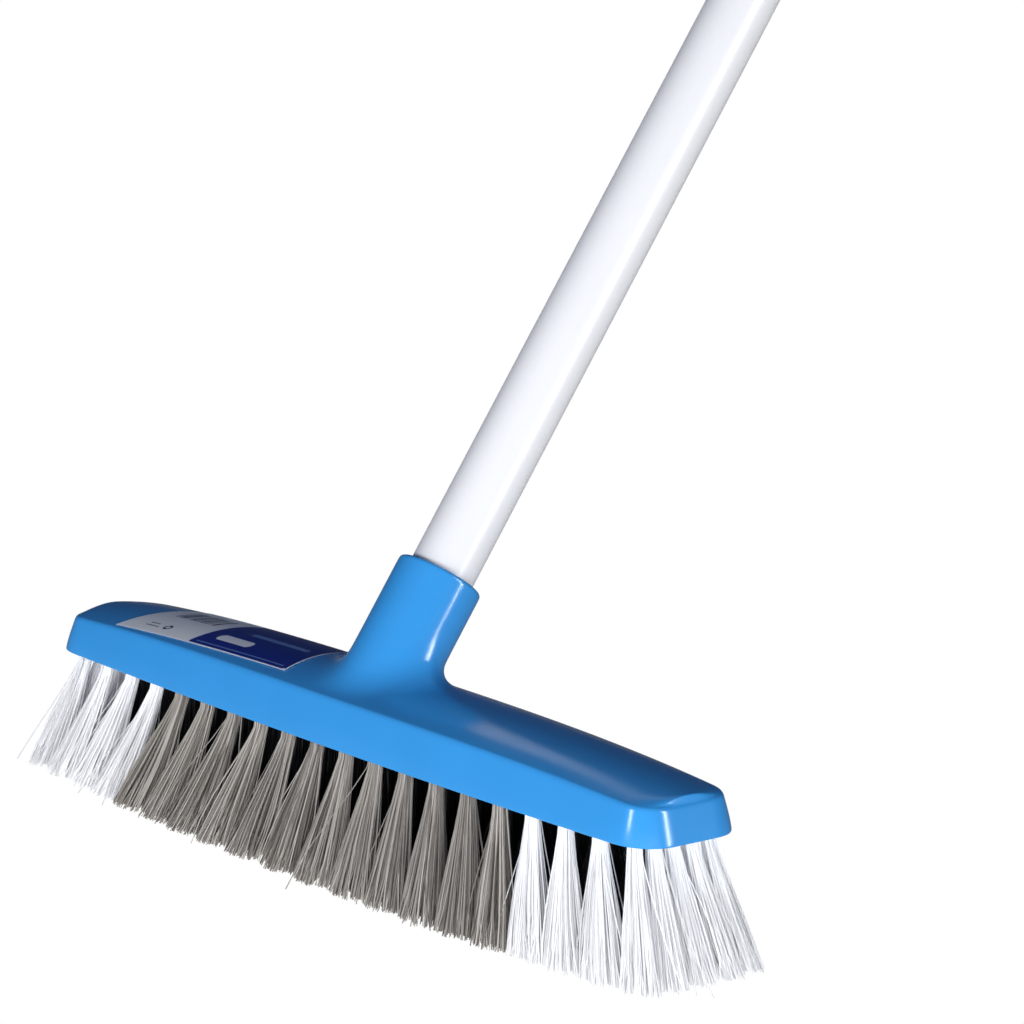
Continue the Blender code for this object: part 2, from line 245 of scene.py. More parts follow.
@dataclass(frozen=True)
class PowderCoat:
    """Baked powder enamel on steel tube: even colour, a slight orange peel, and a soft gloss."""

    name: str
    colour: str
    roughness: float = 0.30
    peel_mm: float = 2.2
    peel_height_mm: float = 0.003
    drift_mm: float = 83.333
    shade: float = 0.95

    def material(self) -> bpy.types.Material:
        """Build the material, with the orange peel as a fine bump and the tone drifting along the tube.

        Returns:
            The material.
        """
        material, tree, output = new_surface(self.name)
        place = add_node(tree, "ShaderNodeTexCoord").outputs["Object"]
        peel = add_node(
            tree, "ShaderNodeTexNoise", {"Vector": place, "Scale": 1 / (self.peel_mm * MM), "Detail": 1.0}
        )
        drift = add_node(
            tree, "ShaderNodeTexNoise", {"Vector": place, "Scale": 1 / (self.drift_mm * MM), "Detail": 3.0}
        )
        tone = add_tint(tree, drift.outputs["Fac"], linear(self.colour), darker(self.colour, self.shade))
        bump = add_node(
            tree,
            "ShaderNodeBump",
            {"Height": peel.outputs["Fac"], "Distance": self.peel_height_mm * MM, "Strength": 0.6},
        )
        shader = add_node(
            tree,
            "ShaderNodeBsdfPrincipled",
            {
                "Base Color": tone,
                "Roughness": self.roughness,
                "IOR": 1.5,
                "Normal": bump.outputs["Normal"],
            },
        )
        tree.links.new(shader.outputs["BSDF"], output.inputs["Surface"])
        return material


@dataclass(frozen=True)
class ExtrudedFilament:
    """Extruded polypropylene filament: satin, its tone a little different from strand to strand."""

    colour: FilamentColour
    roughness: float = 0.42
    line_mm: float = 0.9
    line_stretch: float = 0.08
    line_share: float = 0.30

    def material(self) -> bpy.types.Material:
        """Build the material from each strand's own tone, with faint die lines along the strand.

        Returns:
            The material.
        """
        material, tree, output = new_surface(f"{self.colour.slot}_strands")
        tone = add_node(tree, "ShaderNodeAttribute", attribute_name="tone")
        place = add_node(tree, "ShaderNodeTexCoord").outputs["Object"]
        stretched = add_node(
            tree, "ShaderNodeMapping", {"Vector": place, "Scale": (1.0, 1.0, self.line_stretch)}
        )
        lines = add_node(
            tree,
            "ShaderNodeTexNoise",
            {"Vector": stretched.outputs["Vector"], "Scale": 1 / (self.line_mm * MM), "Detail": 1.0},
        )
        mixed = add_node(
            tree,
            "ShaderNodeMath",
            {0: lines.outputs["Fac"], 1: self.line_share, 2: tone.outputs["Fac"]},
            operation="MULTIPLY_ADD",
        )
        shade = add_node(
            tree,
            "ShaderNodeMapRange",
            {"Value": mixed.outputs["Value"], "From Min": 0.15, "From Max": 1.15},
        )
        colour = add_tint(tree, shade.outputs["Result"], linear(self.colour.dark), linear(self.colour.light))
        shader = add_node(
            tree,
            "ShaderNodeBsdfPrincipled",
            {"Base Color": colour, "Roughness": self.roughness, "IOR": 1.49},
        )
        tree.links.new(shader.outputs["BSDF"], output.inputs["Surface"])
        return material


@dataclass(frozen=True)
class PrintedFilm:
    """Printed self-adhesive film: flat ink under a thin gloss laminate, very slightly cockled."""

    name: str
    ink: str
    roughness: float = 0.34
    speckle_mm: float = 0.6
    shade: float = 0.88
    cockle_mm: float = 14.0
    cockle_height_mm: float = 0.06

    def material(self) -> bpy.types.Material:
        """Build the material, with the ink's speckle and the laminate's cockle.

        Returns:
            The material.
        """
        material, tree, output = new_surface(self.name)
        place = add_node(tree, "ShaderNodeTexCoord").outputs["Object"]
        speckle = add_node(
            tree, "ShaderNodeTexNoise", {"Vector": place, "Scale": 1 / (self.speckle_mm * MM)}
        )
        cockle = add_node(tree, "ShaderNodeTexNoise", {"Vector": place, "Scale": 1 / (self.cockle_mm * MM)})
        ink = add_tint(tree, speckle.outputs["Fac"], linear(self.ink), darker(self.ink, self.shade))
        bump = add_node(
            tree,
            "ShaderNodeBump",
            {"Height": cockle.outputs["Fac"], "Distance": self.cockle_height_mm * MM, "Strength": 1.0},
        )
        shader = add_node(
            tree,
            "ShaderNodeBsdfPrincipled",
            {
                "Base Color": ink,
                "Roughness": self.roughness,
                "IOR": 1.5,
                "Normal": bump.outputs["Normal"],
            },
        )
        tree.links.new(shader.outputs["BSDF"], output.inputs["Surface"])
        return material


def finished_piece(
    name: str, bm: bmesh.types.BMesh, materials: list[bpy.types.Material], smooth_angle: float = 35.0
) -> bpy.types.Object:
    """Make a piece from a bmesh and put it in the scene.

    Args:
        name: The piece's name.
        bm: The piece's mesh, which is freed.
        materials: Its materials, in the order of its faces' numbers.
        smooth_angle: Edges that turn more than this many degrees stay sharp.

    Returns:
        The new object, at the origin, unturned and unscaled.
    """
    mesh = bpy.data.meshes.new(name)
    bm.to_mesh(mesh)
    bm.free()
    mesh.shade_smooth()
    mesh.set_sharp_from_angle(angle=math.radians(smooth_angle))
    for material in materials:
        mesh.materials.append(material)
    piece = bpy.data.objects.new(name, mesh)
    bpy.context.scene.collection.objects.link(piece)
    return piece


def settle_modifiers(piece: bpy.types.Object, smooth_angle: float = 35.0) -> None:
    """Turn a piece's modifiers into its own mesh.

    Args:
        piece: The object whose modifiers are applied.
        smooth_angle: Edges that turn more than this many degrees stay sharp.
    """
    bpy.context.view_layer.update()
    graph = bpy.context.evaluated_depsgraph_get()
    mesh = bpy.data.meshes.new_from_object(piece.evaluated_get(graph))
    piece.modifiers.clear()
    piece.data = mesh
    mesh.name = piece.name
    mesh.shade_smooth()
    mesh.set_sharp_from_angle(angle=math.radians(smooth_angle))


def cut(piece: bpy.types.Object, cutter: bpy.types.Object) -> None:
    """Cut one mesh from another and drop the cutter.

    Args:
        piece: The piece that is cut.
        cutter: A closed mesh, which is removed afterwards.
    """
    modifier = piece.modifiers.new(cutter.name, "BOOLEAN")
    modifier.operation = "DIFFERENCE"
    modifier.solver = "EXACT"
    modifier.object = cutter
    settle_modifiers(piece)
    bpy.data.objects.remove(cutter, do_unlink=True)


def extrude_rim(bm: bmesh.types.BMesh, rim: list, move: Callable[[bmesh.types.BMVert], Vector]) -> list:
    """Draw an open rim on by one level.

    Args:
        bm: The mesh.
        rim: The rim's edges.
        move: Gives each new vertex its place.

    Returns:
        The edges of the new rim.
    """
    grown = bmesh.ops.extrude_edge_only(bm, edges=rim)["geom"]
    fresh = [item for item in grown if isinstance(item, bmesh.types.BMEdge) and item.is_boundary]
    for vert in {vert for edge in fresh for vert in edge.verts}:
        vert.co = move(vert)
    return fresh


@dataclass
class HandleAxis:
    """The tilted axis that the socket, ferrule, tube and cap share."""

    start: Vector
    along: Vector

    @classmethod
    def from_joints(cls, joints: list[dict]) -> "HandleAxis":
        """Read the axis from the joint that the handle turns on."""
        turn = next(joint for joint in joints if joint["name"] == "handle_turn")
        return cls(Vector(turn["pos_m"]), Vector(turn["axis"]).normalized())

    def across(self) -> Vector:
        """Direction square to the axis and to +X, on the axis's upper back side."""
        return Vector((0, self.along.z, -self.along.y))

    def spoke(self, angle: float) -> Vector:
        """Unit spoke at an angle round the axis, 0 along +X."""
        return Vector((math.cos(angle), 0, 0)) + self.across() * math.sin(angle)

    def point(self, distance: float, radius: float = 0.0, angle: float = 0.0) -> Vector:
        """Point at a distance along the axis, a radius away from it."""
        return self.start + self.along * distance + self.spoke(angle) * radius

    def distance_to(self, point: Vector) -> float:
        """Distance along the axis of the point's foot on it."""
        return (point - self.start).dot(self.along)

    def span(self, node: str) -> tuple[float, float]:
        """Distances along the axis at which a frame's solid starts and ends."""
        distances = [self.distance_to(vert.co) for vert in FRAME["nodes"][node].data.vertices]
        return min(distances), max(distances)

    def placement(self) -> Matrix:
        """Transform that stands a shape made about +Z on the axis."""
        tilt = Vector((0, 0, 1)).rotation_difference(self.along)
        return Matrix.Translation(self.start) @ tilt.to_matrix().to_4x4()

    def turned(self, profile: list[tuple[float, float]], steps: int) -> bmesh.types.BMesh:
        """Spin a closed solid's profile about the axis.

        Args:
            profile: Points as (radius, distance along the axis). The first and last lie on the axis,
                or the profile closes on itself where neither does.
            steps: Facets round the axis.

        Returns:
            The closed mesh, its faces pointing outwards.
        """
        bm = bmesh.new()
        verts = [bm.verts.new((radius, 0, distance)) for radius, distance in profile]
        edges = [bm.edges.new(pair) for pair in zip(verts, verts[1:])]
        if profile[0][0] > 0:
            edges.append(bm.edges.new((verts[-1], verts[0])))
        bmesh.ops.spin(
            bm,
            geom=verts + edges,
            cent=(0, 0, 0),
            axis=(0, 0, 1),
            angle=2 * math.pi,
            steps=steps,
            use_merge=True,
            use_duplicate=False,
        )
        bmesh.ops.remove_doubles(bm, verts=bm.verts, dist=0.01 * MM)
        bmesh.ops.recalc_face_normals(bm, faces=bm.faces)
        bmesh.ops.transform(bm, matrix=self.placement(), verts=bm.verts)
        return bm


@dataclass
class Head:
    """One-piece moulded head: crowned top, drafted sides and the angled socket blended into the top."""

    axis: HandleAxis
    finish: MouldedPolypropylene
    length: float = 300 * MM
    end_half_width: float = 22.3 * MM
    side_bulge: float = 3.3 * MM
    corner_radius: float = 12.8 * MM
    crease_height: float = 15.8 * MM
    crease_drop: float = 4.1 * MM
    crown: float = 3.6 * MM
    crown_fade: float = 0.45
    top_inset: float = 4.6 * MM
    side_levels: tuple[tuple[float, float], ...] = (
        (4.05, 0.988),
        (3.60, 0.958),
        (3.25, 0.915),
        (3.00, 0.860),
        (2.30, 0.680),
        (1.45, 0.460),
        (0.80, 0.260),
        (0.35, 0.090),
        (0.28, 0.035),
        (0.60, 0.000),
    )
    middle_stations: int = 48
    corner_stations: int = 6
    strips: int = 8
    window_stations: int = 7
    socket_radius: float = 14.7 * MM
    socket_rim: float = 59.9 * MM
    fillet: float = 16.0 * MM
    back_fillet: float = 0.6 * MM
    fillet_levels: int = 6
    corner_tries: int = 40
    foot_margin: float = 0.4 * MM
    wall_levels: tuple[float, ...] = (0.4, 0.75, 0.95)
    rim_rounding: float = 1.3 * MM
    mouth_radius: float = 11.4 * MM
    mouth_depth: float = 10.0 * MM
    lip_width: float = 0.60 * MM
    lip_start: float = 0.08 * MM
    lip_depth: float = 0.45 * MM
    edge_hold: float = 0.25 * MM
    bore_radius: float = 10.2 * MM
    bore_depth: float = 26.0 * MM
    hole_radius: float = 2.6 * MM
    hole_depth: float = 10.0 * MM
    underside: float = field(init=False)

    def __post_init__(self) -> None:
        """Read the underside's height from the frame."""
        self.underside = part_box("head_block")[0].z

    def straight(self) -> float:
        """Half-length of the outline between its corner rounds."""
        return self.length / 2 - self.corner_radius

    def half_width(self, x: float, inset: float) -> float:
        """Half-width of the outline.

        Args:
            x: Distance from the head's middle.
            inset: How far the outline is moved in.

        Returns:
            The half-width there.
        """
        straight = self.straight()
        if abs(x) <= straight:
            return self.end_half_width - inset + self.side_bulge * (1 - (x / straight) ** 2)
        radius = self.corner_radius - inset
        reach = min(abs(x) - straight, radius)
        return self.end_half_width - self.corner_radius + math.sqrt(radius**2 - reach**2)

    def crease(self, x: float) -> float:
        """Height above the underside of the top's edge at x."""
        return self.crease_height - self.crease_drop * abs(2 * x / self.length) ** 3

    def top(self, x: float, y: float) -> float:
        """Height of the crowned top above the tips' plane.

        Args:
            x: Distance along the head from its middle.
            y: Distance across it.

        Returns:
            The height there.
        """
        crown = self.crown * (1 - self.crown_fade * (2 * x / self.length) ** 4)
        across = min(1.0, abs(y) / self.half_width(x, self.top_inset))
        return self.underside + self.crease(x) + crown * (1 - across**2)

    def columns(self) -> int:
        """Number of cells along the head."""
        return self.middle_stations + 2 * self.corner_stations

    def station(self, column: int, inset: float) -> float:
        """Place of a column of the cage: even steps in the middle, then even turns round each corner.

        Args:
            column: The column's number from the left end.
            inset: How far the outline is moved in.

        Returns:
            The column's x.
        """
        step = column - self.columns() / 2
        half = self.middle_stations / 2
        if abs(step) <= half:
            return self.straight() * step / half
        turn = (abs(step) - half) / self.corner_stations * math.pi / 2
        return math.copysign(self.straight() + (self.corner_radius - inset) * math.sin(turn), step)

    def socket_wall(self, angle: float, distance: float) -> Vector:
        """Point on the socket's round wall."""
        return self.axis.point(distance, self.socket_radius, angle)

    def socket_corner(self, angle: float) -> Vector:
        """Find where a line of the socket's wall meets the head's top.

        Args:
            angle: Angle round the socket.

        Returns:
            The meeting point.
        """
        distance = self.crease_height / self.axis.along.z
        point = self.socket_wall(angle, distance)
        for _ in range(self.corner_tries):
            distance += (self.top(point.x, point.y) - point.z) / self.axis.along.z
            point = self.socket_wall(angle, distance)
        return point

    def fillet_point(self, angle: float, share: float) -> Vector:
        """Point of the blend between the top (share 0) and the socket's wall (share 1).

        Args:
            angle: Angle round the socket.
            share: How far up the blend.

        Returns:
            The point, kept inside the top's edge where the socket stands right at the back.
        """
        corner = self.socket_corner(angle)
        spoke = self.axis.spoke(angle)
        outwards = Vector((spoke.x, spoke.y, 0)).normalized()
        radius = self.fillet
        if math.sin(angle) > 0:
            radius = self.back_fillet + (self.fillet - self.back_fillet) * (1 - math.sin(angle))
        reach = radius / math.tan(outwards.angle(self.axis.along) / 2)
        foot = corner + outwards * reach
        edge = self.half_width(foot.x, self.top_inset) - self.foot_margin
        foot.y = max(-edge, min(edge, foot.y))
        foot.z = self.top(foot.x, foot.y)
        wall = corner + self.axis.along * reach
        return foot * (1 - share) ** 2 + corner * 2 * share * (1 - share) + wall * share**2

    def socket_levels(self) -> list[Callable[[float], Vector]]:
        """List the rings of the socket after its foot: the blend, wall, rounded rim, mouth and bore.

        Returns:
            For each ring, a function from the angle round the socket to the ring's point.
        """
        levels = [
            lambda angle, share=level / self.fillet_levels: self.fillet_point(angle, share)
            for level in range(1, self.fillet_levels + 1)
        ]
        for part in self.wall_levels:
            levels.append(
                lambda angle, part=part: self.fillet_point(angle, 1.0).lerp(
                    self.socket_wall(angle, self.socket_rim - self.rim_rounding), part
                )
            )
        mouth_floor = self.socket_rim - self.mouth_depth
        bore_end = mouth_floor - self.bore_depth
        hold = self.edge_hold
        turned = [
            (
                self.socket_radius - self.rim_rounding * (1 - math.cos(turn)),
                self.socket_rim - self.rim_rounding * (1 - math.sin(turn)),
            )
            for turn in (0.0, math.pi / 6, math.pi / 3, math.pi / 2)
        ]
        turned += [
            (self.mouth_radius + self.lip_width, self.socket_rim),
            (self.mouth_radius + hold, self.socket_rim - self.lip_start),
            (self.mouth_radius, self.socket_rim - self.lip_depth),
            (self.mouth_radius, mouth_floor + hold),
            (self.mouth_radius, mouth_floor),
            (self.mouth_radius - hold, mouth_floor),
            (self.bore_radius + hold, mouth_floor),
            (self.bore_radius, mouth_floor),
            (self.bore_radius, mouth_floor - hold),
            (self.bore_radius, bore_end + hold),
            (self.bore_radius, bore_end),
            (self.bore_radius / 2, bore_end),
        ]
        for radius, distance in turned:
            levels.append(
                lambda angle, radius=radius, distance=distance: self.axis.point(distance, radius, angle)
            )
        return levels

    def build(self) -> bpy.types.Object:
        """Model the head as one smooth cage, subdivide it, and drill the tuft holes.

        Returns:
            The head's object.
        """
        bm = bmesh.new()
        column_of = bm.verts.layers.int.new("column")
        row_of = bm.verts.layers.int.new("row")
        columns = self.columns()
        bmesh.ops.create_grid(bm, x_segments=columns, y_segments=self.strips, size=1)
        for vert in bm.verts:
            vert[column_of] = round((vert.co.x + 1) / 2 * columns)
            vert[row_of] = round((vert.co.y + 1) / 2 * self.strips)

        def level_point(vert: bmesh.types.BMVert, inset: float, share: float | None) -> Vector:
            """Place a vertex on one level of the outline, or on the top.

            Args:
                vert: The vertex, which holds its column and row.
                inset: How far the outline is moved in.
                share: The level's height as a share of the crease's, or None for the top.

            Returns:
                The vertex's place.
            """
            x = self.station(vert[column_of], inset)
            y = self.half_width(x, inset) * (2 * vert[row_of] / self.strips - 1)
            z = self.top(x, y) if share is None else self.underside + share * self.crease(x)
            return Vector((x, y, z))

        for vert in bm.verts:
            vert.co = level_point(vert, self.top_inset, None)
        rim = [edge for edge in bm.edges if edge.is_boundary]
        window = self.straight() * (self.window_stations + 0.5) / (self.middle_stations / 2)
        opened = [face for face in bm.faces if all(abs(vert.co.x) < window for vert in face.verts)]
        bmesh.ops.delete(bm, geom=opened, context="FACES_ONLY")
        outline = set(rim)
        for inset, share in self.side_levels:
            rim = extrude_rim(bm, rim, lambda vert: level_point(vert, inset * MM, share))
        bmesh.ops.contextual_create(bm, geom=rim)
        self.add_socket(bm, outline)
        bmesh.ops.recalc_face_normals(bm, faces=bm.faces)
        head = finished_piece("head_moulding", bm, [self.finish.material()])
        smooth = head.modifiers.new("smooth", "SUBSURF")
        smooth.levels = 2
        smooth.render_levels = 2
        settle_modifiers(head)
        cut(head, self.tuft_holes())
        return head

    def add_socket(self, bm: bmesh.types.BMesh, outline: set) -> None:
        """Bridge the opening in the top to the socket's foot and draw the socket up and into its bore.

        Args:
            bm: The head's cage, with an opening left for the socket.
            outline: Edges of the top's outline, which the sides hang from; not used.
        """
        opening = [edge for edge in bm.edges if edge.is_boundary]
        sides = len(opening)
        spoke_of = bm.verts.layers.int.new("spoke")
        ring = bmesh.ops.create_circle(bm, segments=sides, radius=1)["verts"]
        for number, vert in enumerate(ring):
            vert[spoke_of] = number
            vert.co = self.fillet_point(2 * math.pi * number / sides, 0.0)
        foot = list({edge for vert in ring for edge in vert.link_edges})
        rim = foot
        for level in self.socket_levels():
            rim = extrude_rim(bm, rim, lambda vert: level(2 * math.pi * vert[spoke_of] / sides))
        bmesh.ops.contextual_create(bm, geom=rim)
        bmesh.ops.bridge_loops(bm, edges=opening + foot)

    def tuft_holes(self) -> bpy.types.Object:
        """Model a cutter with a blind round hole for every tuft, from below the underside.

        Returns:
            The cutter.
        """
        bm = bmesh.new()
        for root in TuftLayout.all_roots():
            place = Matrix.Translation((root.x, root.y, self.underside))
            bmesh.ops.create_cone(
                bm,
                cap_ends=True,
                segments=16,
                radius1=self.hole_radius,
                radius2=self.hole_radius,
                depth=2 * self.hole_depth,
                matrix=place,
            )
        return finished_piece("tuft_holes", bm, [])


class Ink(Enum):
    """The label's printed inks."""

    PAPER = ("label_paper_white", "#F2F4F7")
    NAVY = ("label_navy", "#0A2280")
    SILVER = ("label_silver", "#E9ECF2")
    SKY = ("label_sky", "#6F8FCB")
    CHARCOAL = ("label_charcoal", "#33363F")

    def __init__(self, title: str, colour: str) -> None:
        """Name the ink's material and colour."""
        self.title = title
        self.colour = colour


@dataclass(frozen=True)
class PrintedShape:
    """A flat shape printed on the label, in millimetres from the label's front left corner."""

    ink: Ink
    left: float
    right: float
    front: float
    back: float
    corner: float = 0.0

    def covers(self, along: float, across: float) -> bool:
        """Whether the shape, with its corners rounded, covers a place.

        Args:
            along: Millimetres along the label.
            across: Millimetres back from its front edge.

        Returns:
            True where the shape is printed.
        """
        past_x = abs(along - (self.left + self.right) / 2) - (self.right - self.left) / 2 + self.corner
        past_y = abs(across - (self.front + self.back) / 2) - (self.back - self.front) / 2 + self.corner
        if past_x <= 0 or past_y <= 0:
            return max(past_x, past_y) <= self.corner
        return math.hypot(past_x, past_y) <= self.corner


@dataclass
class Label:
    """Printed film on the left of the head's top: a pale panel beside a navy one, with plain bars."""

    head: Head
    length: float = 90.0
    depth: float = 33.0
    front_left: tuple[float, float] = (-118.0, -18.0)
    left_slant: float = 10.0
    right_slant: float = 5.0
    front_rise: float = 1.4
    cell: float = 0.5
    lift: float = 0.10 * MM
    thickness: float = 0.10 * MM
    bars: int = 11
    bar_start: float = 9.0
    bar_pitch: float = 2.1
    bar_width: float = 0.8
    bar_extra: float = 0.3
    bar_span: tuple[float, float] = (15.0, 25.0)

    def shapes(self) -> list[PrintedShape]:
        """List the print: plain panels, a ring and bars, and a row of upright bars of three widths.

        Returns:
            The shapes, bottom layer first.
        """
        print_run = [
            PrintedShape(Ink.PAPER, -1, self.length + 1, -1, self.depth + 1),
            PrintedShape(Ink.NAVY, 38.5, self.length - 0.6, 0.7, self.depth - 0.6, corner=1.0),
            PrintedShape(Ink.SKY, 41, self.length - 3, 1.9, 2.4),
            PrintedShape(Ink.SILVER, 45, 63, 6.0, 10.5, corner=2.0),
            PrintedShape(Ink.SKY, 52, 84, 15.5, 18.0, corner=1.0),
            PrintedShape(Ink.CHARCOAL, 19, 22.5, 3.5, 7.0, corner=1.7),
            PrintedShape(Ink.PAPER, 20, 21.5, 4.5, 6.0, corner=0.7),
            PrintedShape(Ink.CHARCOAL, 10, 17, 4.0, 4.6),
            PrintedShape(Ink.CHARCOAL, 10, 15, 5.8, 6.4),
        ]
        for bar in range(self.bars):
            left = self.bar_start + bar * self.bar_pitch
            width = self.bar_width + self.bar_extra * (bar * 5 % 3)
            print_run.append(PrintedShape(Ink.CHARCOAL, left, left + width, *self.bar_span))
        return print_run

    def point(self, along: float, across: float) -> Vector:
        """Place a point of the print on the head's crowned top.

        Args:
            along: Millimetres along the label.
            across: Millimetres back from its front edge.

        Returns:
            The point, in metres.
        """
        share = across / self.depth
        left = self.front_left[0] + self.left_slant * share
        right = self.front_left[0] + self.length - self.right_slant * share
        x = (left + (right - left) * along / self.length) * MM
        y = (self.front_left[1] + self.front_rise * along / self.length + across) * MM
        return Vector((x, y, self.head.top(x, y) + self.lift))

    def build(self) -> bpy.types.Object:
        """Lay the film on the head's top and print its shapes.

        Returns:
            The label's object.
        """
        columns, rows = round(self.length / self.cell), round(self.depth / self.cell)
        bm = bmesh.new()
        bmesh.ops.create_grid(bm, x_segments=columns, y_segments=rows, size=1)
        inks = list(Ink)
        shapes = self.shapes()
        for face in bm.faces:
            centre = face.calc_center_median()
            along = (centre.x + 1) / 2 * self.length
            across = (centre.y + 1) / 2 * self.depth
            top_shape = [shape for shape in shapes if shape.covers(along, across)][-1]
            face.material_index = inks.index(top_shape.ink)
        for vert in bm.verts:
            vert.co = self.point((vert.co.x + 1) / 2 * self.length, (vert.co.y + 1) / 2 * self.depth)
        finishes = [PrintedFilm(ink.title, ink.colour).material() for ink in inks]
        label = finished_piece("printed_label", bm, finishes)
        film = label.modifiers.new("film", "SOLIDIFY")
        film.thickness = self.thickness
        film.offset = 1.0
        settle_modifiers(label)
        return label


@dataclass
class Handle:
    """White steel tube with a threaded plug pressed in its lower end and a domed cap in its upper end."""

    axis: HandleAxis
    radius: float = 11.0 * MM
    wall: float = 0.6 * MM
    edge: float = 0.2 * MM
    facets: int = 96
    plug_radius: float = 10.1 * MM
    plug_chamfer: float = 1.0 * MM
    gap: float = 0.3 * MM
    flange: float = 2.0 * MM
    thread_root: float = 8.5 * MM
    thread_crest: float = 9.85 * MM
    thread_foot: float = 2.6 * MM
    thread_top: float = 1.0 * MM
    thread_pitch: float = 4.2 * MM
    thread_sunk: float = 0.3 * MM
    thread_steps: int = 48
    brim: float = 1.0 * MM
    dome_steps: int = 10

    def tube(self) -> bpy.types.Object:
        """Model the tube, with the edges of its cut ends broken.

        Returns:
            The tube's object.
        """
        low, high = self.axis.span("handle_tube")
        outer, inner = self.radius, self.radius - self.wall
        edge = self.edge
        profile = [
            (outer, low + edge),
            (outer - edge, low),
            (inner + edge, low),
            (inner, low + edge),
            (inner, high - edge),
            (inner + edge, high),
            (outer - edge, high),
            (outer, high - edge),
        ]
        finish = PowderCoat("white_powder_coat", "#E9EAED").material()
        return finished_piece("handle_tube_enamelled", self.axis.turned(profile, self.facets), [finish])

    def ferrule(self) -> bpy.types.Object:
        """Model the plug, the flange under the tube's end and the core that carries the thread.

        Returns:
            The ferrule's object.
        """
        low, high = self.axis.span("threaded_ferrule")
        flange_top = self.axis.span("handle_tube")[0] - self.gap
        flange_low = flange_top - self.flange
        edge, chamfer = self.edge, self.plug_chamfer
        profile = [
            (0, low),
            (self.thread_root - chamfer, low),
            (self.thread_root, low + chamfer),
            (self.thread_root, flange_low),
            (self.radius - edge, flange_low),
            (self.radius, flange_low + edge),
            (self.radius, flange_top - edge),
            (self.radius - edge, flange_top),
            (self.plug_radius, flange_top),
            (self.plug_radius, high - chamfer),
            (self.plug_radius - chamfer, high),
            (0, high),
        ]
        bm = self.axis.turned(profile, self.facets)
        self.add_thread(bm, low + self.thread_foot / 2, flange_low - self.thread_foot / 2)
        bmesh.ops.recalc_face_normals(bm, faces=bm.faces)
        finish = MouldedPolypropylene("moulded_polypropylene_white", "#E6E7E9", roughness=0.42)
        return finished_piece("threaded_plug", bm, [finish.material()])

    def add_thread(self, bm: bmesh.types.BMesh, low: float, high: float) -> None:
        """Wind the thread's ridge round its core.

        Args:
            bm: The mesh that takes the ridge.
            low: Distance along the axis of the ridge's middle where it starts.
            high: The same where it ends.
        """
        inner = self.thread_root - self.thread_sunk
        section = [
            (inner, -self.thread_foot / 2),
            (self.thread_crest, -self.thread_top / 2),
            (self.thread_crest, self.thread_top / 2),
            (inner, self.thread_foot / 2),
        ]
        verts = [bm.verts.new(self.axis.point(low + rise, radius)) for radius, rise in section]
        face = bmesh.ops.contextual_create(bm, geom=verts)["faces"][0]
        steps = int((high - low) / self.thread_pitch * self.thread_steps)
        bmesh.ops.spin(
            bm,
            geom=[face, *face.edges, *face.verts],
            cent=self.axis.start,
            axis=self.axis.along,
            dvec=self.axis.along * (self.thread_pitch / self.thread_steps),
            angle=2 * math.pi * steps / self.thread_steps,
            steps=steps,
            use_merge=False,
            use_duplicate=False,
        )

    def end_cap(self) -> bpy.types.Object:
        """Model the domed cap on its plug.

        Returns:
            The cap's object.
        """
        low, high = self.axis.span("end_cap")
        seat = self.axis.span("handle_tube")[1] + self.gap
        dome_foot = seat + self.brim
        chamfer, edge = self.plug_chamfer, self.edge
        profile = [
            (0, low),
            (self.plug_radius - chamfer, low),
            (self.plug_radius, low + chamfer),
            (self.plug_radius, seat),
            (self.radius - edge, seat),
            (self.radius, seat + edge),
        ]
        for step in range(self.dome_steps + 1):
            turn = step / self.dome_steps * math.pi / 2
            profile.append((self.radius * math.cos(turn), dome_foot + (high - dome_foot) * math.sin(turn)))
        profile[-1] = (0, high)
        finish = MouldedPolypropylene("moulded_polypropylene_cap_blue", "#2F8BDA", roughness=0.3)
        return finished_piece("domed_end_cap", self.axis.turned(profile, self.facets), [finish.material()])


@dataclass
class TuftPlace:
    """Where a tuft leaves the head and where its strands end."""

    root: Vector
    tip: Vector
    tip_along: float
    tip_across: float


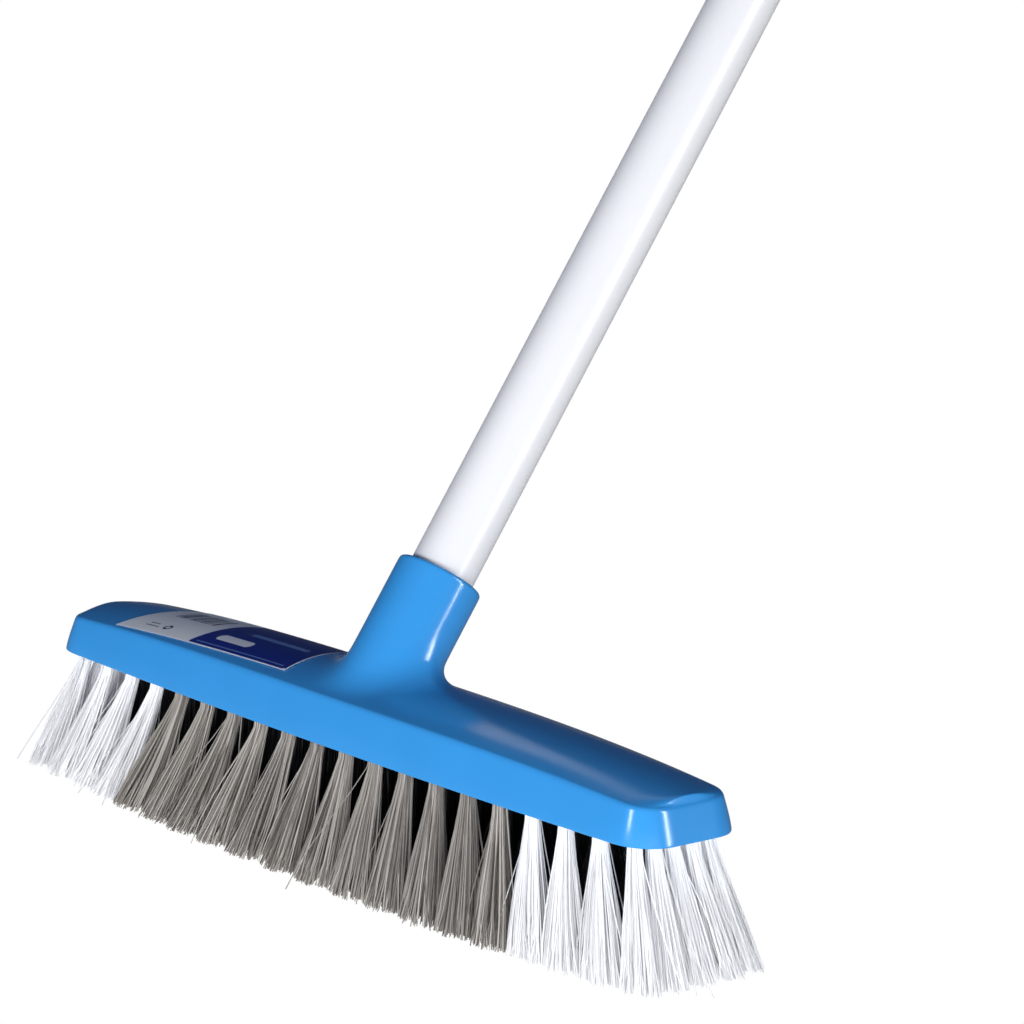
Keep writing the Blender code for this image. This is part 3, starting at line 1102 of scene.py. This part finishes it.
class TuftLayout:
    """Reads the tufts' places from the frame's own solids."""

    ROWS = ("inner_row_front", "inner_row_middle", "inner_row_back")
    LEAST_GAP = 3 * MM
    NEAR_POINTS = 12

    @staticmethod
    def outer_nodes() -> list[str]:
        """Names of the outer tufts."""
        return [name for name in FRAME["nodes"] if name.startswith("tuft_")]

    @staticmethod
    def outer(node: str) -> TuftPlace:
        """Place an outer tuft from the two ends of its solid.

        Args:
            node: The solid's name.

        Returns:
            The tuft's place.
        """
        points = [vert.co for vert in FRAME["nodes"][node].data.vertices]
        low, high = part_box(node)
        tips = [point for point in points if point.z < low.z + MM]
        roots = [point for point in points if point.z > high.z - MM]
        tip = sum(tips, Vector()) / len(tips)
        along = max(abs(point.x - tip.x) for point in tips)
        across = max(abs(point.y - tip.y) for point in tips)
        return TuftPlace(sum(roots, Vector()) / len(roots), tip, along, across)

    @staticmethod
    def inner(node: str, along: float = 7.4 * MM, across: float = 4.2 * MM) -> list[TuftPlace]:
        """Place the tufts in an inner row from the separate roots of its solid.

        Args:
            node: The solid's name.
            along: How far a tuft's strands spread along the head.
            across: How far they spread across it.

        Returns:
            The tufts' places, from left to right.
        """
        points = [vert.co for vert in FRAME["nodes"][node].data.vertices]
        low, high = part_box(node)
        roots = sorted((point.copy() for point in points if point.z > high.z - MM), key=lambda p: p.x)
        strip = [point for point in points if point.z < low.z + MM]
        groups: list[list[Vector]] = []
        for point in roots:
            if not groups or point.x - groups[-1][-1].x > TuftLayout.LEAST_GAP:
                groups.append([])
            groups[-1].append(point)
        places = []
        for group in groups:
            root = sum(group, Vector()) / len(group)
            near = sorted(strip, key=lambda p: abs(p.x - root.x))[: TuftLayout.NEAR_POINTS]
            sides = (min(point.y for point in near) + max(point.y for point in near)) / 2
            places.append(TuftPlace(root, Vector((root.x, sides, low.z)), along, across))
        return places

    @classmethod
    def all_roots(cls) -> list[Vector]:
        """Every tuft's root, outer and inner."""
        outer = [cls.outer(node).root for node in cls.outer_nodes()]
        return outer + [place.root for row in cls.ROWS for place in cls.inner(row)]


@dataclass
class Bristles:
    """Builds tufts as bundles of separate strands that spread from a round hole to a trimmed, ragged tip.

    Broom filament is about 0.3 mm thick. It is drawn a little thicker and sparser, so that single strands
    show.
    """

    underside: float
    strand_radius: float = 0.21 * MM
    bundle_radius: float = 2.15 * MM
    sunk: float = 4.0 * MM
    trim: float = 0.5 * MM
    fan_out: float = 1.38
    lean_out: float = 1.22
    bow: float = 1.1 * MM
    clumps: int = 6
    clump_pull: float = 0.25
    clump_reach: tuple[float, float] = (0.3, 0.9)
    straight_share: float = 0.10
    flare: float = 1.12
    stray_share: float = 0.05
    stray_reach: float = 5.0 * MM
    stray_depth: float = 0.6
    stray_bow: float = 2.0
    steps: int = 5

    def strand(self) -> bpy.types.Mesh:
        """Model one straight three-sided strand, a unit long, that every strand is bent from.

        Returns:
            The strand's mesh.
        """
        bm = bmesh.new()
        bmesh.ops.create_cone(
            bm,
            cap_ends=True,
            segments=3,
            radius1=self.strand_radius,
            radius2=self.strand_radius,
            depth=1.0,
            matrix=Matrix.Translation((0, 0, 0.5)),
        )
        sides = [edge for edge in bm.edges if abs(edge.verts[0].co.z - edge.verts[1].co.z) > 0.5]
        bmesh.ops.subdivide_edges(bm, edges=sides, cuts=self.steps)
        mesh = bpy.data.meshes.new("strand")
        bm.to_mesh(mesh)
        bm.free()
        return mesh

    def path(self, place: TuftPlace, dice: random.Random, pulls: list[Vector]) -> Callable[[float], Vector]:
        """Choose one strand's way from its hole to its tip.

        Args:
            place: The tuft's root and tip.
            dice: The tuft's own seeded random numbers.
            pulls: Centres, on a unit disc, that the strands gather towards.

        Returns:
            A function from 0 at the root to 1 at the tip to a point.
        """
        turn = dice.uniform(0, 2 * math.pi)
        spread = math.sqrt(dice.random())
        disc = Vector((math.cos(turn), math.sin(turn), 0)) * spread
        nearest = min(pulls, key=lambda centre: (centre - disc).length)
        fan = disc.lerp(nearest, self.clump_pull * dice.random()) * self.fan_out
        root = Vector((place.root.x, place.root.y, self.underside + self.sunk)) + disc * self.bundle_radius
        tip = place.root + (place.tip - place.root) * self.lean_out
        tip += Vector((fan.x * place.tip_along, fan.y * place.tip_across, 0))
        bow = Vector((dice.gauss(0, 1), dice.gauss(0, 1), 0)) * self.bow
        if dice.random() < self.stray_share:
            tip += Vector((dice.gauss(0, 1), dice.gauss(0, self.stray_depth), 0)) * self.stray_reach
            bow *= self.stray_bow
        tip.z = abs(dice.gauss(0, 1)) * self.trim

        def point(share: float) -> Vector:
            """Follow the strand straight out of its hole, then fanning out with a slight bow.

            Args:
                share: How far along the strand, from 0 at the root to 1 at the tip.

            Returns:
                The point.
            """
            fanned = max(0.0, (share - self.straight_share) / (1 - self.straight_share))
            flat = root.lerp(tip, fanned**self.flare)
            flat.z = root.z + (tip.z - root.z) * share
            return flat + bow * math.sin(math.pi * fanned) * fanned

        return point

    def tuft(
        self, name: str, places: list[TuftPlace], strands: int, material: bpy.types.Material, seed: int
    ) -> bpy.types.Object:
        """Model one piece's strands.

        Args:
            name: The piece's name.
            places: The tufts in the piece.
            strands: Strands in each tuft.
            material: The strands' material.
            seed: Seed for the strands' random choices.

        Returns:
            The piece.
        """
        dice = random.Random(seed)
        one = self.strand()
        corners = [(vert.co.x, vert.co.y, vert.co.z) for vert in one.vertices]
        bm = bmesh.new()
        paths = []
        for place in places:
            pulls = [
                Vector((math.cos(turn), math.sin(turn), 0)) * dice.uniform(*self.clump_reach)
                for turn in [dice.uniform(0, 2 * math.pi) for _ in range(self.clumps)]
            ]
            for _ in range(strands):
                bm.from_mesh(one)
                paths.append((self.path(place, dice, pulls), dice.random(), dice.uniform(0, 2 * math.pi)))
        bpy.data.meshes.remove(one)
        tone_of = bm.verts.layers.float.new("tone")
        for number, vert in enumerate(bm.verts):
            point, tone, turn = paths[number // len(corners)]
            x, y, share = corners[number % len(corners)]
            across = Matrix.Rotation(turn, 2) @ Vector((x, y))
            vert.co = point(share) + across.to_3d()
            vert[tone_of] = tone
        return finished_piece(name, bm, [material], smooth_angle=80.0)


@dataclass
class Broom:
    """The whole broom: builds each sub-assembly and says what it rides on and stands for."""

    axis: HandleAxis
    outer_strands: int = 230
    inner_strands: int = 110
    row_seed: int = 1000

    def report(self, piece: bpy.types.Object) -> None:
        """Log a finished piece."""
        LOG.info("%s: %d faces", piece.name, len(piece.data.polygons))

    def place(self, piece: bpy.types.Object, body: Body, slot: str, *nodes: str) -> None:
        """Let a piece ride on its body and stand for its CAD nodes.

        Args:
            piece: The finished piece.
            body: The body that it moves with.
            slot: The record's material slot; not used.
            nodes: The CAD nodes that it stands for.
        """
        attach(piece, body.value)
        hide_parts(*nodes)
        self.report(piece)

    def build_head(self) -> Head:
        """Build the head's moulding.

        Returns:
            The head, whose shape the label and the bristles follow.
        """
        head = Head(self.axis, MouldedPolypropylene("moulded_polypropylene_blue", "#3896DF"))
        self.place(head.build(), Body.HEAD, "head_plastic", "head_block")
        return head

    def build_label(self, head: Head) -> None:
        """Build the printed label on the head's top."""
        self.place(Label(head).build(), Body.HEAD, "label_film", "label")

    def build_handle(self) -> None:
        """Build the tube, its threaded plug, which turns with it, and its end cap."""
        handle = Handle(self.axis)
        self.place(handle.tube(), Body.HANDLE, "handle_enamel", "handle_tube")
        self.place(handle.ferrule(), Body.HANDLE, "ferrule_plastic", "threaded_ferrule")
        self.place(handle.end_cap(), Body.HANDLE, "cap_plastic", "end_cap")

    def build_bristles(self, head: Head) -> None:
        """Build every tuft as strands, in the colour of its CAD slot.

        Args:
            head: The head that holds them.
        """
        slots = {part["node"]: part["material_slot"] for part in FRAME["record"]["subparts"]}
        finishes = {colour.slot: ExtrudedFilament(colour).material() for colour in FilamentColour}
        bristles = Bristles(head.underside)
        for seed, node in enumerate(TuftLayout.outer_nodes()):
            places = [TuftLayout.outer(node)]
            piece = bristles.tuft(f"{node}_strands", places, self.outer_strands, finishes[slots[node]], seed)
            self.place(piece, Body.HEAD, slots[node], node)
        for seed, node in enumerate(TuftLayout.ROWS, self.row_seed):
            places = TuftLayout.inner(node)
            piece = bristles.tuft(f"{node}_strands", places, self.inner_strands, finishes[slots[node]], seed)
            self.place(piece, Body.HEAD, slots[node], node)


@dataclass(frozen=True)
class Studio:
    """Pale floor, soft lights and the camera."""

    azimuth: float = 48.386
    elevation: float = 11.995
    roll: float = 2.365
    distance: float = 1.3621
    aim: tuple[float, float, float] = (0.06105, 0.0, 0.12654)
    lens: float = 155.29
    sensor: float = 36.0
    nearest: float = 0.01
    lit_point: tuple[float, float, float] = (0.0, 0.0, 0.08)
    floor_reach: float = 12.0
    floor_glow: float = 0.70
    floor_gloss: float = 0.12
    sky_glow: float = 0.100
    sky_colour: str = "#8FB4FF"

    @staticmethod
    def towards(azimuth: float, elevation: float) -> Vector:
        """Work out a direction from the head.

        Args:
            azimuth: Degrees round from the front.
            elevation: Degrees above the floor.

        Returns:
            The unit direction.
        """
        turn, rise = math.radians(azimuth), math.radians(elevation)
        return Vector((math.sin(turn) * math.cos(rise), -math.cos(turn) * math.cos(rise), math.sin(rise)))

    def view_axes(self) -> Matrix:
        """Work out how the camera is turned.

        Returns:
            Rotation whose columns are the camera's right, up and back directions.
        """
        back = self.towards(self.azimuth, self.elevation)
        turn = math.radians(self.azimuth)
        right = Vector((math.cos(turn), math.sin(turn), 0))
        up = back.cross(right)
        level = Matrix((right, up, back)).transposed()
        return level @ Matrix.Rotation(math.radians(self.roll), 3, "Z")

    def add_camera(self) -> None:
        """Add the camera and make it the scene's own."""
        data = bpy.data.cameras.new("camera")
        data.lens = self.lens
        data.sensor_width = self.sensor
        data.clip_start = self.nearest
        camera = bpy.data.objects.new("camera", data)
        axes = self.view_axes()
        place = Vector(self.aim) + axes.col[2] * self.distance
        camera.matrix_world = Matrix.Translation(place) @ axes.to_4x4()
        bpy.context.scene.collection.objects.link(camera)
        bpy.context.scene.camera = camera

    def add_light(
        self,
        name: str,
        azimuth: float,
        elevation: float,
        reach: float,
        size: tuple[float, float],
        power: float,
        glow: Glow,
    ) -> None:
        """Add a soft box that faces the head.

        Args:
            name: The light's name.
            azimuth: Degrees round from the front, as for the camera.
            elevation: Degrees above the floor.
            reach: Distance from the head's middle.
            size: Width and height.
            power: Watts.
            glow: What the box does to surfaces.
        """
        data = bpy.data.lights.new(name, "AREA")
        data.shape = "RECTANGLE"
        data.size, data.size_y = size
        data.energy = power
        light = bpy.data.objects.new(name, data)
        light.visible_diffuse = glow.lights
        light.visible_glossy = glow.mirrored
        back = self.towards(azimuth, elevation)
        light.rotation_euler = back.to_track_quat("Z", "Y").to_euler()
        light.location = Vector(self.lit_point) + back * reach
        bpy.context.scene.collection.objects.link(light)

    def add_floor(self) -> None:
        """Add the pale floor: pure white to the eye, and softer in what it lights and where it reflects."""
        bm = bmesh.new()
        bmesh.ops.create_grid(bm, x_segments=1, y_segments=1, size=self.floor_reach)
        material, tree, output = new_surface("studio_floor")
        paths = add_node(tree, "ShaderNodeLightPath")
        seen, mirrored = paths.outputs["Is Camera Ray"], paths.outputs["Is Glossy Ray"]
        white, glow, gloss = (
            add_node(tree, "ShaderNodeEmission", {"Color": WHITE, "Strength": strength}).outputs["Emission"]
            for strength in (1.0, self.floor_glow, self.floor_gloss)
        )
        lit = add_node(tree, "ShaderNodeMixShader", {0: mirrored, 1: glow, 2: gloss})
        mix = add_node(tree, "ShaderNodeMixShader", {0: seen, 1: lit.outputs["Shader"], 2: white})
        tree.links.new(mix.outputs["Shader"], output.inputs["Surface"])
        floor = finished_piece("floor", bm, [material])

    def add_world(self) -> None:
        """Add the surroundings: white behind the object, and dim where they light it or gloss shows them."""
        world = bpy.data.worlds.new("studio")
        world.use_nodes = True
        tree = world.node_tree
        tree.nodes.clear()
        seen = add_node(tree, "ShaderNodeLightPath").outputs["Is Camera Ray"]
        white = add_node(tree, "ShaderNodeBackground", {"Color": WHITE, "Strength": 1.0})
        dim = add_node(
            tree, "ShaderNodeBackground", {"Color": linear(self.sky_colour), "Strength": self.sky_glow}
        )
        mix = add_node(
            tree,
            "ShaderNodeMixShader",
            {0: seen, 1: dim.outputs["Background"], 2: white.outputs["Background"]},
        )
        add_node(tree, "ShaderNodeOutputWorld", {"Surface": mix.outputs["Shader"]})
        bpy.context.scene.world = world

    def build(self) -> None:
        """Set up the whole studio."""
        self.add_camera()
        self.add_floor()
        self.add_world()
        self.add_light("key_box", 18, 5, reach=1.7, size=(1.7, 0.45), power=23, glow=Glow.LIGHT)
        self.add_light("fill_box", 70, 4, reach=2.0, size=(1.6, 0.45), power=25, glow=Glow.LIGHT)
        self.add_light("back_box", 232, 6, reach=2.0, size=(1.6, 0.45), power=14, glow=Glow.LIGHT)
        self.add_light("right_strip", 114, 12, reach=1.5, size=(0.17, 1.0), power=13, glow=Glow.MIRROR)
        self.add_light("left_strip", 2, 20, reach=1.5, size=(0.26, 0.45), power=7, glow=Glow.MIRROR)
        bpy.context.scene.view_settings.view_transform = "Standard"


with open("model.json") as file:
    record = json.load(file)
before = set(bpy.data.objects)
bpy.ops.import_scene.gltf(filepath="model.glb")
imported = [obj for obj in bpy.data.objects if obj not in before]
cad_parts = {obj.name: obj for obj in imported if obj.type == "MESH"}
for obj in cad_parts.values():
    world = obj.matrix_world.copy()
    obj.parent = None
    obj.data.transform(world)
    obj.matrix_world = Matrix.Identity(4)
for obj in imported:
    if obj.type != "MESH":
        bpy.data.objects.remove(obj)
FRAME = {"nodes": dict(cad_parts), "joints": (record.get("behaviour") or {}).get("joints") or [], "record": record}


def main() -> None:
    """Build the broom and its studio."""
    logging.basicConfig(level=logging.INFO, format="%(name)s: %(message)s")
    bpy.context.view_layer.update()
    Studio().build()
    axis = HandleAxis.from_joints(FRAME["joints"])
    broom = Broom(axis)
    head = broom.build_head()
    broom.build_label(head)
    broom.build_handle()
    broom.build_bristles(head)


if __name__ == "__main__":
    main()
